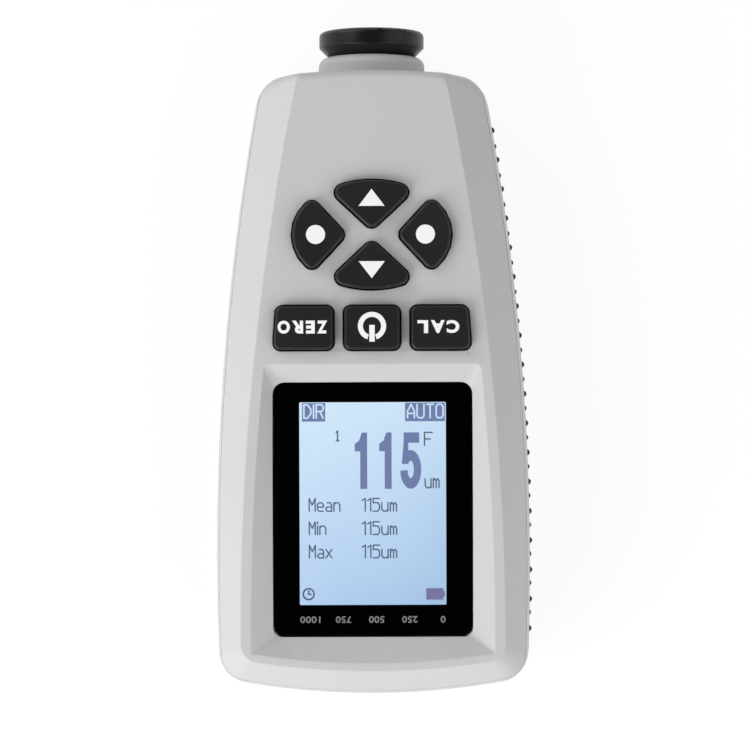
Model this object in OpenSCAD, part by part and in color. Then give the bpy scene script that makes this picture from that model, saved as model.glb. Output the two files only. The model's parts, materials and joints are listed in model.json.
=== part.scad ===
// Handheld coating thickness gauge: a two-part moulded case with a sunk display,
// rubber keys, a sprung probe inside a guard ring, dotted side grips and a sliding
// battery door on the back.
// It lies on its back: X runs across it, Y towards the probe, Z out of the front.
// The origin is under the middle of the gauge, on the surface that it lies on.

/* [Display] */
// Width of the display lens
lens_w = 33.8; // [31:0.1:38]
// Length of the display lens
lens_l = 43; // [40:0.1:50]
// Thickness of the display lens
lens_t = 1.5; // [1:0.1:2.5]
// Corner radius of the display lens
lens_corner = 2; // [1:0.1:4]
// Gap between the lens and the case around it
lens_gap = 0.1; // [0.05:0.05:0.2]
// Width of the clear view
view_w = 24.8; // [20:0.1:26]
// Length of the clear view
view_l = 34.3; // [28:0.1:35]
// How far the view's middle lies from the lens' middle, towards the keys
view_up = 0.95; // [0:0.05:1.6]
// Thickness of the black frame that the lens is stuck down with
gasket_t = 0.5; // [0.3:0.1:1]
// Thickness of the ledge under that frame
ledge_t = 1; // [0.8:0.1:1.6]
// How far the black frame reaches in past the ledge
ledge_back = 1.1; // [0.5:0.1:2]
// Thickness of the display glass
lcd_t = 2; // [1.5:0.1:3]
// Border of the display glass around the view
lcd_border = 2.6; // [1.5:0.1:2.8]
// Gap between the display glass and the ledge
lcd_gap = 0.1; // [0.05:0.05:0.3]
// Thickness of the backlight
backlight_t = 2.5; // [1.8:0.1:4]

/* [Case front] */
// Depth of the display pocket
pocket_depth = 2; // [1.5:0.1:2.4]
// Sloped pocket wall beside the lens, at its widest
pocket_side = 3.65; // [3:0.05:5]
// Sloped pocket wall on the tail side
pocket_tail = 4.3; // [3:0.05:5]
// Sloped pocket wall on the key side
pocket_head = 3.1; // [2:0.05:4.5]
// Flat rim beside the pocket
rim_side = 1.75; // [1.2:0.05:3]
// Flat rim on the tail side
rim_tail = 1.3; // [1:0.05:3]
// Run of the side facet
facet_side = 3.9; // [3:0.1:5]
// Run of the tail facet
facet_tail = 3.9; // [3:0.1:5]
// Drop of the facets
facet_drop = 5.5; // [4:0.1:6.5]
// Lean of the side walls under the facet
draft_side = 0.75; // [0.3:0.05:1.5]
// Lean of the tail wall under the facet
draft_tail = 1.15; // [0.5:0.05:2]
// Lean of the nose wall
draft_nose = 0.4; // [0.2:0.05:0.8]
// Rounding of the front's edge at the nose
nose_edge_r = 1.2; // [0.6:0.1:1.8]
// Radius of the long curve of the sides
side_arc_r = 440; // [400:5:600]
// Radius of the long sides of the flat front
front_side_r = 455; // [400:5:600]
// Radius of the tail's curve
tail_arc_r = 130; // [110:5:260]
// Radius of the tail edge of the flat front
front_arc_r = 130; // [110:5:200]
// Radius of the nose's curve
nose_arc_r = 150; // [120:5:260]
// Tail corner radius at the rim
tail_corner = 5.4; // [5:0.1:9]
// Tail corner radius of the flat front
front_corner = 3; // [2:0.1:5]
// Nose corner radius
nose_corner = 5; // [4:0.1:7]
// How far up from the lens' tail edge the rim is widest
rim_widest = 12.5; // [8:0.5:18]
// Wall thickness of the case
wall = 2.2; // [1.9:0.1:2.6]
// Thickness of the flat front
front_wall = 2; // [1.6:0.1:2.6]

/* [Case back] */
// Rounding of the back's edge
back_edge_r = 4.2; // [3.4:0.1:5]
// Swell of the back shell's sides below the rim
side_swell = 0.35; // [0.1:0.05:0.6]
// Height of the lip that centres the two shells
lip_h = 1; // [0.6:0.1:1.6]
// Thickness of that lip
lip_t = 0.8; // [0.6:0.1:0.9]
// Gap around the lip
lip_gap = 0.1; // [0.05:0.05:0.2]

/* [Grips] */
// Height of the dotted grip strip
grip_h = 6.6; // [5:0.1:7.5]
// Thickness of the strip
grip_t = 0.9; // [0.7:0.1:1.1]
// How far the strip's face lies inside the rim
grip_sunk = 0.1; // [0.05:0.05:0.3]
// Gap around the strip in its channel
grip_gap = 0.1; // [0.05:0.05:0.2]
// Radius of a grip dot
dot_r = 0.65; // [0.55:0.05:1]
// How far the dots of the right grip stand out past the rim
dot_out = 0.75; // [0.4:0.05:0.9]
// How far the dots of the left grip stand out past the rim
dot_low = 0.3; // [0.2:0.05:0.9]
// Distance from dot to dot along a row
dot_pitch = 5.1; // [4:0.1:7]
// Distance between the two rows of dots
dot_rows = 3; // [2.4:0.1:3.6]
// Length of the row of dots
dot_run = 86.8; // [70:0.1:88]

/* [Keys] */
// How far the keys stand out of the front
key_rise = 1.5; // [1:0.1:2]
// How far a key travels when it is pressed
key_travel = 0.8; // [0.5:0.1:0.9]
// Gap between a key and its opening
key_gap = 0.25; // [0.2:0.05:0.3]
// How far a key's flange reaches past the key
flange_out = 0.55; // [0.45:0.05:0.55]
// Thickness of a key's flange
flange_t = 0.9; // [0.6:0.1:1.2]
// Gap between a flange and the back of the front wall
flange_gap = 0.1; // [0.05:0.05:0.2]
// Rounding of the keys' top edges
key_edge = 0.5; // [0.3:0.05:0.6]
// Half width of the round key pad
pad_rx = 13.35; // [12:0.05:14]
// Half height of the round key pad
pad_ry = 9.14; // [8.6:0.02:10]
// Width of the cross-shaped space between the pad keys
pad_split = 3.5; // [2.8:0.05:3.8]
// Distance of the up and down keys' points from the middle
pad_tip = 0.75; // [0.3:0.05:1]
// Slope of the pad keys' straight sides, in degrees
pad_lean = 43; // [40:0.5:46]
// Radius of the outer edge of the up and down keys
pad_bow_r = 18.4; // [16:0.1:24]
// Radius of the outer edge of the left and right keys
pad_side_bow_r = 7.1; // [7:0.05:9]
// Corner radius of the pad keys
pad_corner = 1.4; // [0.8:0.1:1.6]
// Height of the lower row of keys
row_h = 7.3; // [7.2:0.1:9]
// Width of the middle key of that row
row_mid_w = 9.34; // [8.6:0.02:10]
// Width of the outer keys of that row, at half height
row_end_w = 9.8; // [9:0.1:10.4]
// Space between the keys of that row
row_split = 1.86; // [1.42:0.02:2]
// How far the outer keys widen towards the tail
row_flare = 0.5; // [0.1:0.05:0.8]
// Corner radius of the row's keys
row_corner = 1.1; // [0.7:0.05:1.4]
// Space between the pocket and the row
row_gap = 2.37; // [2.1:0.01:4]
// Space between the row and the pad
pad_gap = 2.85; // [2.2:0.05:4]
// Radius of the stem under each key
stem_r = 3; // [2.2:0.1:3.2]
// How far the pad keys' stems lie out from the middle of their keys
stem_shift = 0.8; // [0.5:0.1:1]
// Gap around the stems in the keypad mat
stem_gap = 0.35; // [0.3:0.05:0.5]
// Thickness of the keypad mat
mat_t = 1.5; // [1:0.1:2]
// Border of the mat around the keys
mat_border = 0.9; // [0.5:0.1:1]

/* [Nose and probe] */
// Length of the nose past the key pad
nose_l = 19; // [19:0.01:26]
// Radius of the collar around the probe
collar_r = 9.1; // [8.8:0.1:9.8]
// How far the collar stands out of the nose
collar_out = 2.85; // [2.4:0.05:5]
// Rounding of the collar's edge
collar_round = 1.6; // [0.8:0.1:1.8]
// Radius of the guard ring
guard_r = 9; // [8.2:0.1:10]
// Thickness of the guard ring
guard_t = 2.7; // [2:0.05:4]
// Rounding of the guard ring's edge
guard_edge = 0.8; // [0.2:0.1:1.2]
// Length of the taper under the guard ring
guard_taper = 1.5; // [0.8:0.05:2.5]
// Radius at the narrow end of that taper
guard_root_r = 7.5; // [7.1:0.1:7.8]
// Gap between the guard and the collar
guard_gap = 0.2; // [0.1:0.05:0.4]
// Radius of the guard's neck in the collar
neck_r = 7; // [6.6:0.1:7]
// Gap between the neck and the collar's bore
neck_gap = 0.15; // [0.1:0.05:0.25]
// Radius of the flange that keeps the guard in the case
keeper_r = 8.4; // [7.9:0.1:8.8]
// Thickness of that flange
keeper_t = 2; // [1.4:0.1:2.4]
// Radius of the barrel behind that flange
barrel_r = 6.4; // [6.2:0.1:6.6]
// Length of the probe spring at rest
probe_spring_l = 6.9; // [5.6:0.1:7]
// How far the probe tip stands out of the guard
tip_out = 0.7; // [0.4:0.05:1]
// How far the probe can be pushed in
probe_travel = 1.2; // [1:0.1:1.8]
// Radius of the probe's sliding sleeve
sleeve_r = 4; // [3.6:0.1:4.2]
// Running gap between the sleeve and the guard
sleeve_gap = 0.08; // [0.05:0.01:0.1]
// Wall of the sleeve
sleeve_wall = 0.8; // [0.6:0.1:1]
// Radius of the sleeve's stop flange
stop_r = 5; // [4.8:0.1:5.1]
// Thickness of the stop flange
stop_t = 1.5; // [1:0.1:2]
// Radius of the probe core and its tip
core_r = 1.5; // [1.2:0.1:1.8]
// Length of the coil winding
winding_l = 7; // [5:0.1:8]
// Thickness of the cap at the back of the barrel
cap_t = 1.6; // [1.2:0.1:2]
// Radius of the probe spring's wire
probe_wire_r = 0.3; // [0.2:0.05:0.35]
// Number of turns of the probe spring
probe_turns = 4; // [3:1:6]

/* [Batteries] */
// Diameter of a cell
cell_d = 10.5; // [10:0.1:14.5]
// Length of a cell
cell_l = 44.5; // [42:0.1:46]
// Gap around the cells
cell_gap = 0.3; // [0.2:0.05:0.6]
// Height of a cell's raised contact
nub_h = 1; // [0.8:0.1:1.6]
// Radius of a cell's raised contact
nub_r = 1.9; // [1.5:0.1:2.5]
// Room for a contact spring at a cell's flat end
spring_l = 3.4; // [2.6:0.1:4.2]
// Radius of the contact springs' wire
contact_wire_r = 0.3; // [0.2:0.05:0.4]
// Number of turns of a contact spring
contact_turns = 3; // [2:1:4]
// Thickness of the contact plates
plate_t = 0.4; // [0.3:0.05:0.6]
// Wall of the battery bay
bay_wall = 1.3; // [1:0.1:1.6]
// How far the bay starts from the tail
bay_tail = 6; // [5.6:0.1:7]
// Thickness of the battery door
door_t = 1.6; // [1.4:0.1:2.2]
// How far the door's face is sunk into the back
door_sunk = 0.3; // [0.2:0.05:0.5]
// Gap around the door
door_gap = 0.3; // [0.3:0.05:0.4]
// How far the door's tongues reach under the rails
door_tongue = 1; // [0.8:0.1:1.4]
// Number of thumb grooves across the door
door_grooves = 6; // [3:1:9]
// Distance between the thumb grooves
groove_pitch = 2; // [1.6:0.1:2.4]
// Radius of the thumb grooves
groove_r = 0.5; // [0.3:0.05:0.7]
// How far up the battery bay the thumb grooves start
groove_up = 5; // [3:0.5:12]

/* [Board and fixings] */
// Thickness of the circuit board
board_t = 1.6; // [1.2:0.1:2]
// Gap between the board and the case walls
board_gap = 0.8; // [0.5:0.1:1.2]
// Room between the battery bay and the board
board_room = 1.4; // [1.4:0.1:2.4]
// Edge of the processor chip
chip_w = 9; // [6:0.1:10]
// Thickness of the processor chip
chip_t = 1; // [0.8:0.1:1.2]
// Radius of the case screws
case_screw_r = 1.2; // [1:0.1:1.4]
// Length of the case screws under the head
case_screw_l = 13; // [12.5:0.1:15]
// Radius of the case screws' heads
case_head_r = 2.4; // [2:0.1:2.5]
// Height of the case screws' heads
case_head_h = 1.6; // [1.2:0.1:2]
// How deep the case screws' heads are sunk
case_head_sunk = 2.4; // [1.5:0.1:3]
// Radius of the posts that take the case screws
case_post_r = 3.6; // [3.4:0.1:3.8]
// Gap between the display and the posts beside it
post_gap = 0.6; // [0.3:0.05:1]
// How far the tail posts stand up from the lens' tail edge
tail_post_up = 3; // [2:0.1:5]
// How far the head posts stand back from the nose
head_post_back = 11.2; // [10.8:0.1:12]
// Radius of the board screws
board_screw_r = 0.9; // [0.8:0.05:1]
// Length of the board screws under the head
board_screw_l = 5; // [4:0.1:5.6]
// Radius of the board screws' heads
board_head_r = 1.8; // [1.5:0.1:2]
// Height of the board screws' heads
board_head_h = 1.1; // [0.9:0.1:1.2]
// Radius of the posts that take the board screws
board_post_r = 2.4; // [2:0.1:2.5]
// Gap between the keypad mat and the posts beside it
mat_gap = 0.2; // [0.1:0.05:0.4]
// How far the head board posts stand up from the middle of the key pad
board_post_up = 6.2; // [5:0.1:7]
// Gap between a screw and its hole
screw_gap = 0.05; // [0.03:0.01:0.1]

/* [Hidden] */

$fn = 48;
over = 1;              // how far a cutting shape runs past what it cuts
seam = 0.01;           // overlap where two shapes would only touch
least_corner = 0.4;    // smallest corner that an outline drawn further in keeps
edge_steps = 4;        // steps around a rounded edge
wire_sides = 6;        // sides of a spring's wire
turn_steps = 14;       // steps in one turn of a spring
side_fn = 720;         // steps in a full turn at the radius of the sides
slot_reach = 0.75;     // share of a screw head's radius that its cross slot reaches
clear_gap = 4 * screw_gap;  // gap around a screw that passes freely
tail_steps = 6;        // points along half of the tail
corner_steps = 6;      // points around a corner
side_steps = 12;       // points along a side
nose_steps = 4;        // points along half of the nose
straight_r = 4000;     // radius of an edge that is straight to the eye
case_grey = [0.78, 0.78, 0.78];
rubber_black = [0.13, 0.13, 0.13];
steel = [0.72, 0.72, 0.74];

// Half widths, from the lens outwards
pocket_hw = lens_w / 2 + pocket_side;
front_hw = pocket_hw + rim_side;
facet_hw = front_hw + facet_side;
rim_hw = facet_hw + draft_side;
lcd_hw = view_w / 2 + lcd_border;

// Lengths, from the tail to the probe tip
body_l = draft_tail + facet_tail + rim_tail + pocket_tail + lens_l + pocket_head
  + row_gap + row_h + pad_gap + 2 * pad_ry + nose_l;
guard_out = collar_out + guard_gap + guard_taper + guard_t;
tail_y = -(body_l + guard_out + tip_out) / 2;
facet_tail_y = tail_y + draft_tail;
front_tail_y = facet_tail_y + facet_tail;
pocket_tail_y = front_tail_y + rim_tail;
lens_tail_y = pocket_tail_y + pocket_tail;
lens_y = lens_tail_y + lens_l / 2;
pocket_head_y = lens_tail_y + lens_l + pocket_head;
view_y = lens_y + view_up;
row_y = pocket_head_y + row_gap + row_h / 2;
pad_y = row_y + row_h / 2 + pad_gap + pad_ry;
nose_y = pad_y + pad_ry + nose_l;
collar_y = nose_y + collar_out;
guard_face_y = nose_y + guard_out;

// Levels, from the back to the key tops
door_top_z = door_sunk + door_t;
cell_z = door_top_z + cell_gap + cell_d / 2;
bay_ceiling_z = cell_z + cell_d / 2 + cell_gap;
bay_top_z = bay_ceiling_z + bay_wall;
board_z = bay_top_z + board_room;
board_top_z = board_z + board_t;
lcd_z = board_top_z + backlight_t;
ledge_z = lcd_z + lcd_t + lcd_gap;
frame_z = ledge_z + ledge_t;
lens_z = frame_z + gasket_t;
pocket_z = lens_z + lens_t;
front_z = pocket_z + pocket_depth;
facet_z = front_z - facet_drop;
ceiling_z = front_z - front_wall;
parting_z = bay_top_z + lip_gap;
key_top_z = front_z + key_rise;
flange_z = ceiling_z - flange_gap - flange_t;
stem_z = board_top_z + key_travel + lip_gap;

// Battery bay and door
bay_hw = cell_d + 1.5 * cell_gap;
bay_tail_y = tail_y + bay_tail;
bay_head_y = bay_tail_y + cell_l + spring_l + 2 * plate_t;
door_hw = bay_hw + door_gap;
door_head_y = bay_head_y + bay_wall;
lip_z = door_sunk + door_t / 2 - door_gap;
rail_hw = door_hw + door_tongue + door_gap;
cell_x = (cell_d + cell_gap) / 2;
coil_r = cell_d / 2 - nub_r;

// An outline is a list of its half width, the Y where it is widest, its side radius,
// then apex Y, radius and corner of the tail, and the same three of the nose.
rim = [rim_hw, lens_tail_y + rim_widest, side_arc_r,
  tail_y, tail_arc_r, tail_corner, nose_y, nose_arc_r, nose_corner];
facet = [facet_hw, lens_tail_y + rim_widest, side_arc_r,
  facet_tail_y, tail_arc_r, tail_corner - draft_side, nose_y - draft_nose / 2, nose_arc_r, nose_corner];
front = [front_hw, lens_tail_y, front_side_r,
  front_tail_y, front_arc_r, front_corner, nose_y - draft_nose, nose_arc_r, nose_edge_r];
pocket = [pocket_hw, lens_tail_y, front_side_r,
  pocket_tail_y, front_arc_r, front_corner / 2, pocket_head_y, straight_r, lens_corner / 2];
lens = [lens_w / 2, lens_y, straight_r,
  lens_tail_y, straight_r, lens_corner, lens_tail_y + lens_l, straight_r, lens_corner];
swell = [side_swell, 0, 0, 0, 0, 0, 0, 0, 0];
back = inset(rim, draft_nose) + swell + [draft_nose, 0, draft_nose, 0, 0, 0, 0, 0, 0];

// The same outline drawn a distance further in
function inset(o, d) = o + d * [-1, 0, -1, 1, -1, 0, -1, -1, 0]
  - [0, 0, 0, 0, 0, min(d, o[5] - least_corner), 0, 0, min(d, o[8] - least_corner)];
// A mix of two outlines
function between(a, b, t) = a * (1 - t) + b * t;
// The point at distance ra from a and rb from b, on the given side of the line a to b
function meet(a, ra, b, rb, side) =
  let (d = norm(b - a), along = (ra * ra - rb * rb + d * d) / (2 * d), u = (b - a) / d)
  a + along * u + side * sqrt(ra * ra - along * along) * [-u.y, u.x];
function heading(a, b) = atan2(b.y - a.y, b.x - a.x);
function arc(c, r, from, to, steps) =
  [for (i = [0 : steps]) c + r * [cos(from + (to - from) * i / steps), sin(from + (to - from) * i / steps)]];
function tail_of(list) = [for (i = [1 : len(list) - 1]) list[i]];

// The right half of an outline, from the tail's middle to the nose's middle
function half_outline(o) =
  let (
    side_c = [o[0] - o[2], o[1]],
    tail_c = [0, o[3] + o[4]],
    nose_c = [0, o[6] - o[7]],
    tail_f = meet(side_c, o[2] - o[5], tail_c, o[4] - o[5], -1),
    nose_f = meet(side_c, o[2] - o[8], nose_c, o[7] - o[8], 1),
    tail_turn = heading(tail_c, tail_f),
    tail_side = heading(side_c, tail_f),
    nose_side = heading(side_c, nose_f),
    nose_turn = heading(nose_c, nose_f)
  )
  concat(
    arc(tail_c, o[4], -90, tail_turn, tail_steps),
    tail_of(arc(tail_f, o[5], tail_turn, tail_side, corner_steps)),
    tail_of(arc(side_c, o[2], tail_side, nose_side, side_steps)),
    tail_of(arc(nose_f, o[8], nose_side, nose_turn, corner_steps)),
    tail_of(arc(nose_c, o[7], nose_turn, 90, nose_steps))
  );
function outline(o) =
  let (right = half_outline(o), last = len(right) - 1)
  concat(right, [for (i = [last - 1 : -1 : 1]) [-right[i].x, right[i].y]]);
function ring(o, z) = [for (p = outline(o)) [p.x, p.y, z]];
function front_level(z) = between(facet, front, (z - facet_z) / facet_drop);

// A closed skin through rings that have the same number of points, split so that
// its left and right halves are mirror images
module skin(rings) {
  n = len(rings[0]);
  top = (len(rings) - 1) * n;
  polyhedron(
    points = [for (r = rings) each r],
    faces = concat(
      [[for (i = [0 : n - 1]) i]],
      [[for (i = [n - 1 : -1 : 0]) top + i]],
      [for (k = [0 : len(rings) - 2], i = [0 : n - 1])
        let (a = k * n + i, b = k * n + (i + 1) % n, c = b + n, d = a + n)
        each i < n / 2 ? [[a, d, b], [b, d, c]] : [[a, d, c], [a, c, b]]]
    )
  );
}

// A plate with round corners, its middle at x = 0 and y
module plate(w, l, r, y, z, t) {
  translate([0, y, z]) linear_extrude(t) {
    square([w - 2 * r, l], center = true);
    square([w, l - 2 * r], center = true);
    for (sx = [-1, 1], sy = [-1, 1])
      translate([sx * (w / 2 - r), sy * (l / 2 - r)]) circle(r);
  }
}

// Lays a shape turned about Z along the probe's axis
module on_probe(y = 0) {
  translate([0, y, parting_z]) rotate([-90, 0, 0]) children();
}

module block(x0, x1, y0, y1, z0, z1) {
  translate([x0, y0, z0]) cube([x1 - x0, y1 - y0, z1 - z0]);
}

module both_sides() {
  children();
  mirror([1, 0, 0]) children();
}

// A wire coil along Z, from z = 0 to the length
module coil(r0, r1, wire_r, length, turns) {
  steps = turns * turn_steps;
  skin([for (i = [0 : steps])
    let (
      turn = 360 * turns * i / steps,
      r = r0 + (r1 - r0) * i / steps,
      z = wire_r + (length - 2 * wire_r) * i / steps
    )
    [for (s = [0 : wire_sides - 1])
      let (across = r + wire_r * sin(360 * s / wire_sides))
      [across * cos(turn), across * sin(turn), z + wire_r * cos(360 * s / wire_sides)]]
  ]);
}

// Where the case and board screws stand, on the right side
tail_post = [lcd_hw + post_gap + case_post_r, lens_tail_y + tail_post_up];
head_post = [2 * neck_r, nose_y - head_post_back];
case_posts = [tail_post, head_post];
case_screw_end = case_head_sunk + case_head_h + case_screw_l;
board_head_y = pad_y + pad_ry + mat_border + flange_out;
board_posts = [
  [lcd_hw + post_gap + board_post_r, lens_y],
  [pad_rx + mat_border + mat_gap + board_post_r, pad_y + board_post_up]
];

// Case front

module front_form() {
  skin(concat(
    [ring(rim, parting_z), ring(facet, facet_z)],
    [for (a = [0 : 90 / edge_steps : 90])
      let (z = front_z - nose_edge_r * (1 - sin(a)), back_off = nose_edge_r * (1 - cos(a)))
      ring(front_level(z) - back_off * [0, 0, 0, 0, 0, 0, 1, 0, 0], z)]
  ));
}

module front_cavity() {
  inner_rim = inset(rim, wall);
  skin([
    ring(inner_rim, parting_z - over),
    ring(inner_rim, parting_z + over),
    ring(inset(facet, wall), facet_z - over),
    ring(inset(front, wall / 2), ceiling_z)
  ]);
}

module pocket_tub() {
  skin([ring(inset(lens, -wall), ledge_z), ring(inset(pocket, -wall / 2), front_z - front_wall / 2)]);
}

module collar(front_half) {
  step = 90 / corner_steps;
  level = front_half ? parting_z : parting_z - 2 * collar_r;
  intersection() {
    on_probe() rotate_extrude() polygon(concat(
      [[0, nose_y - wall], [collar_r, nose_y - wall]],
      [for (a = [0 : step : 90])
        [collar_r - collar_round * (1 - cos(a)), collar_y - collar_round * (1 - sin(a))]],
      [[0, collar_y]]
    ));
    block(-collar_r, collar_r, nose_y - 2 * wall, collar_y + over, level, level + 2 * collar_r);
  }
}

module collar_bore() {
  on_probe(nose_y - 3 * wall) cylinder(r = neck_r + neck_gap, h = collar_out + 4 * wall);
}

module lip_band(out, in, z0, z1) {
  difference() {
    skin([ring(inset(rim, out), z0), ring(inset(rim, out), z1)]);
    skin([ring(inset(rim, in), z0 - over), ring(inset(rim, in), z1 + over)]);
  }
}

module front_shell() color(case_grey) difference() {
  union() {
    difference() {
      front_form();
      difference() {
        front_cavity();
        pocket_tub();
        both_sides() {
          for (p = case_posts)
            translate([p.x, p.y, parting_z + lip_gap]) cylinder(r = case_post_r, h = front_z);
          for (p = board_posts)
            translate([p.x, p.y, board_top_z]) cylinder(r = board_post_r, h = front_z);
        }
      }
    }
    collar(true);
  }
  collar_bore();
  skin([ring(lens, pocket_z), ring(pocket, front_z + seam)]);
  plate(lens_w + 2 * lens_gap, lens_l + 2 * lens_gap, lens_corner, lens_y,
    frame_z, pocket_z - frame_z + seam);
  plate(view_w + 2 * ledge_back, view_l + 2 * ledge_back, lens_corner, view_y,
    ledge_z - over, front_wall + over);
  lip_band(wall / 2 - lip_gap, wall + lip_gap, parting_z - over, parting_z + lip_h + lip_gap);
  for (arcs = key_arcs)
    translate([0, 0, ceiling_z - over]) linear_extrude(front_wall + 2 * over) polygon(trace(arcs, -key_gap));
  both_sides() {
    for (p = case_posts)
      translate([p.x, p.y, parting_z - over])
        cylinder(r = case_screw_r + screw_gap, h = case_screw_end - parting_z + 2 * over);
    for (p = board_posts)
      translate([p.x, p.y, board_top_z - over])
        cylinder(r = board_screw_r + screw_gap, h = board_screw_l - board_t + 2 * over);
  }
}

// Case back

module rear_form() {
  skin(concat(
    [for (a = [90 : -90 / edge_steps : 0])
      ring(inset(back, back_edge_r * (1 - cos(a))), back_edge_r * (1 - sin(a)))],
    [ring((back + rim + swell) / 2, (back_edge_r + parting_z) / 2), ring(rim, parting_z)]
  ));
}

module rear_cavity() {
  inner_r = back_edge_r - wall;
  skin(concat(
    [for (a = [90 : -90 / edge_steps : 0])
      ring(inset(back, wall + inner_r * (1 - cos(a))), wall + inner_r * (1 - sin(a)))],
    [ring(inset(rim, wall), parting_z - over), ring(inset(rim, wall), parting_z + over)]
  ));
}

// The door's section, pushed along Y, with room around it for the track
module door_track(gap, y0, y1) {
  block(-door_hw - gap, door_hw + gap, y0, y1, door_sunk - gap, door_top_z + gap);
  block(-door_hw - door_tongue - gap, door_hw + door_tongue + gap, y0, y1,
    lip_z + door_gap - gap, door_top_z + gap);
}

module rear_shell() color(case_grey) difference() {
  union() {
    difference() {
      rear_form();
      difference() {
        rear_cavity();
        block(-bay_hw - bay_wall, bay_hw + bay_wall,
          bay_tail_y - bay_wall, bay_head_y + bay_wall, 0, bay_top_z);
        block(-rail_hw - bay_wall, rail_hw + bay_wall,
          tail_y, door_head_y + door_gap + bay_wall, 0, door_top_z + door_gap + bay_wall);
        both_sides() for (p = case_posts)
          translate([p.x, p.y, 0]) cylinder(r = case_post_r, h = parting_z);
      }
    }
    collar(false);
    lip_band(wall / 2, wall / 2 + lip_t, parting_z - over, parting_z + lip_h);
  }
  collar_bore();
  block(-bay_hw, bay_hw, bay_tail_y, bay_head_y, 0, bay_ceiling_z);
  door_track(door_gap, tail_y - over, door_head_y + door_gap);
  block(-door_hw - door_gap, door_hw + door_gap, tail_y - over, door_head_y + door_gap, -over, door_top_z);
  both_sides() {
    grip_bar(grip_gap, grip_gap + 2 * dot_out);
    for (p = case_posts) translate([p.x, p.y, 0]) {
      translate([0, 0, -over])
        cylinder(r = case_head_r + clear_gap, h = case_head_sunk + case_head_h + over);
      cylinder(r = case_screw_r + clear_gap, h = parting_z + over);
    }
  }
}

module battery_door() color(case_grey) difference() {
  intersection() {
    door_track(0, tail_y - over, door_head_y);
    rear_form();
  }
  for (i = [0 : door_grooves - 1])
    translate([0, bay_tail_y + groove_up + groove_pitch * i, door_sunk])
      rotate([0, 90, 0]) cylinder(r = groove_r, h = bay_hw, center = true);
}

// Grips: a bar bent along the side's long curve, with two rows of dots

grip_z = back_edge_r + grip_h / 2;
function on_side(y) = asin((y - lens_tail_y - rim_widest) / side_arc_r);

module about_side() {
  translate([rim_hw - side_arc_r, lens_tail_y + rim_widest, 0]) children();
}

module grip_bar(gap, out) {
  from = on_side(lens_tail_y - 2 * dot_r - gap);
  to = on_side(lens_tail_y + dot_run + 2 * dot_r + gap);
  about_side() rotate([0, 0, from]) rotate_extrude(angle = to - from, $fn = side_fn)
    translate([side_arc_r - grip_sunk - grip_t - gap, grip_z - grip_h / 2 - gap])
      square([grip_t + gap + out, grip_h + 2 * gap]);
}

// A round-topped dot that stands along Z on the strip and reaches half way into it
module dot(out) {
  rise = grip_sunk + out;
  rotate_extrude() polygon(concat(
    [[0, -grip_t / 2], [dot_r, -grip_t / 2]],
    [for (a = [0 : 90 / edge_steps : 90]) [dot_r * cos(a), rise * sin(a)]]
  ));
}

module grip(out) {
  rows = floor(dot_run / dot_pitch);
  grip_bar(0, 0);
  about_side() for (i = [0 : 2 * rows])
    rotate([0, 0, on_side(lens_tail_y + i * dot_pitch / 2)])
      translate([side_arc_r - grip_sunk, 0, grip_z + (0.5 - i % 2) * dot_rows])
        rotate([0, 90, 0]) dot(out);
}

module grip_right() color(rubber_black) grip(dot_out);
module grip_left() color(rubber_black) mirror([1, 0, 0]) grip(dot_low);

// Display

module display_lens() color([0.05, 0.05, 0.07, 0.5])
  plate(lens_w, lens_l, lens_corner, lens_y, lens_z, lens_t);

module lens_frame() color("black") difference() {
  plate(lens_w, lens_l, lens_corner, lens_y, frame_z, gasket_t);
  plate(view_w, view_l, lens_corner / 10, view_y, frame_z - over, gasket_t + 2 * over);
}

module lcd_glass() color([0.78, 0.88, 0.97])
  plate(2 * lcd_hw, view_l + 2 * lcd_border, lens_corner / 4, view_y, lcd_z, lcd_t);

module lcd_backlight() color("white")
  plate(2 * lcd_hw, view_l + 2 * lcd_border, lens_corner / 4, view_y, board_top_z, backlight_t);

// Board

module main_board() color([0.1, 0.4, 0.2]) difference() {
  intersection() {
    translate([0, 0, board_z]) linear_extrude(board_t) polygon(outline(inset(facet, wall + board_gap)));
    block(-rim_hw, rim_hw, tail_y, board_head_y, board_z - over, board_top_z + over);
  }
  both_sides() {
    translate([tail_post.x, tail_post.y, board_z - over])
      cylinder(r = case_post_r + board_gap, h = board_t + 2 * over);
    for (p = board_posts)
      translate([p.x, p.y, board_z - over]) cylinder(r = board_screw_r + screw_gap, h = board_t + 2 * over);
  }
}

module processor() color([0.15, 0.15, 0.16])
  plate(chip_w, chip_w, chip_t / 2, (row_y + pad_y) / 2, board_z - chip_t, chip_t);

module keypad_mat() color([0.3, 0.3, 0.3]) {
  difference() {
    translate([0, 0, board_top_z]) linear_extrude(mat_t) {
      translate([-row_hw - mat_border, row_y - row_h / 2 - mat_border])
        square([2 * (row_hw + mat_border), row_h + 2 * mat_border]);
      translate([-pad_rx - mat_border, row_y])
        square([2 * (pad_rx + mat_border), pad_y - row_y + pad_ry + mat_border]);
    }
    for (p = stem_places)
      translate([p.x, p.y, board_top_z - over]) cylinder(r = stem_r + stem_gap, h = mat_t + 2 * over);
  }
}

// Keys

row_hw = row_mid_w / 2 + row_split + row_end_w + row_flare / 2;
pad_side_tip = pad_split * sqrt(2) - pad_tip;
stem_off = (pad_tip + pad_ry) / 2 + stem_shift;
up_stem = [0, pad_y + stem_off];
down_stem = [0, pad_y - stem_off];
right_stem = [(pad_side_tip + pad_rx) / 2 + stem_shift, pad_y];
left_stem = [-right_stem.x, pad_y];
end_x = row_mid_w / 2 + row_split + row_end_w / 2;
zero_stem = [-end_x, row_y];
power_stem = [0, row_y];
cal_stem = [end_x, row_y];
stem_places = [up_stem, down_stem, left_stem, right_stem, zero_stem, power_stem, cal_stem];

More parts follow.
